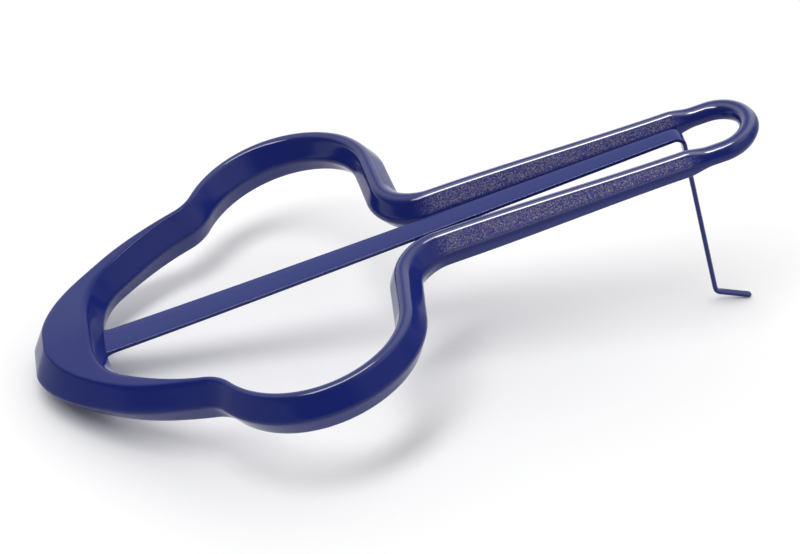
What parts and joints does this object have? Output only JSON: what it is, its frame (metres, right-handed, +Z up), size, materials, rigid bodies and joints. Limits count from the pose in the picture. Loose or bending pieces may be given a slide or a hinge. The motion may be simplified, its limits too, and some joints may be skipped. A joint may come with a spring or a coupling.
{
  "type": "jaw harp",
  "caption": "Jaw harp of bent bar: a pear-shaped bow runs into parallel arms closed by an eye, and a sprung reed between the arms ends in a thin trigger for plucking.",
  "frame": {"origin": "Middle of the base of the box round the standing harp, on the table.", "axes": "+X runs from the head to the eye, +Y across the bow to the far side in the picture, +Z up. The harp stands as in the picture, on the lower edge of its head and on the foot of its trigger, so the bow and arms slope up towards the eye."},
  "size_m": [0.0958, 0.0572, 0.0299],
  "materials": {
    "frame_paint": "thick glossy navy-blue paint",
    "reed_paint": "glossy navy-blue paint over spring steel"
  },
  "bodies": {
    "frame": {"frame": "frame_paint", "reed_root": "reed_paint"},
    "reed": {"reed_tongue": "reed_paint", "trigger": "reed_paint"}
  },
  "joints": [
    {"name": "reed_flex", "type": "hinge", "parent": "frame", "child": "reed", "pos_m": [-0.0271, 0, 0.00826], "axis": [0, -1, 0], "range_deg": [-10.6, 7.4], "stiffness_Nm_per_rad": 0.274, "springref_deg": -1.58}
  ]
}
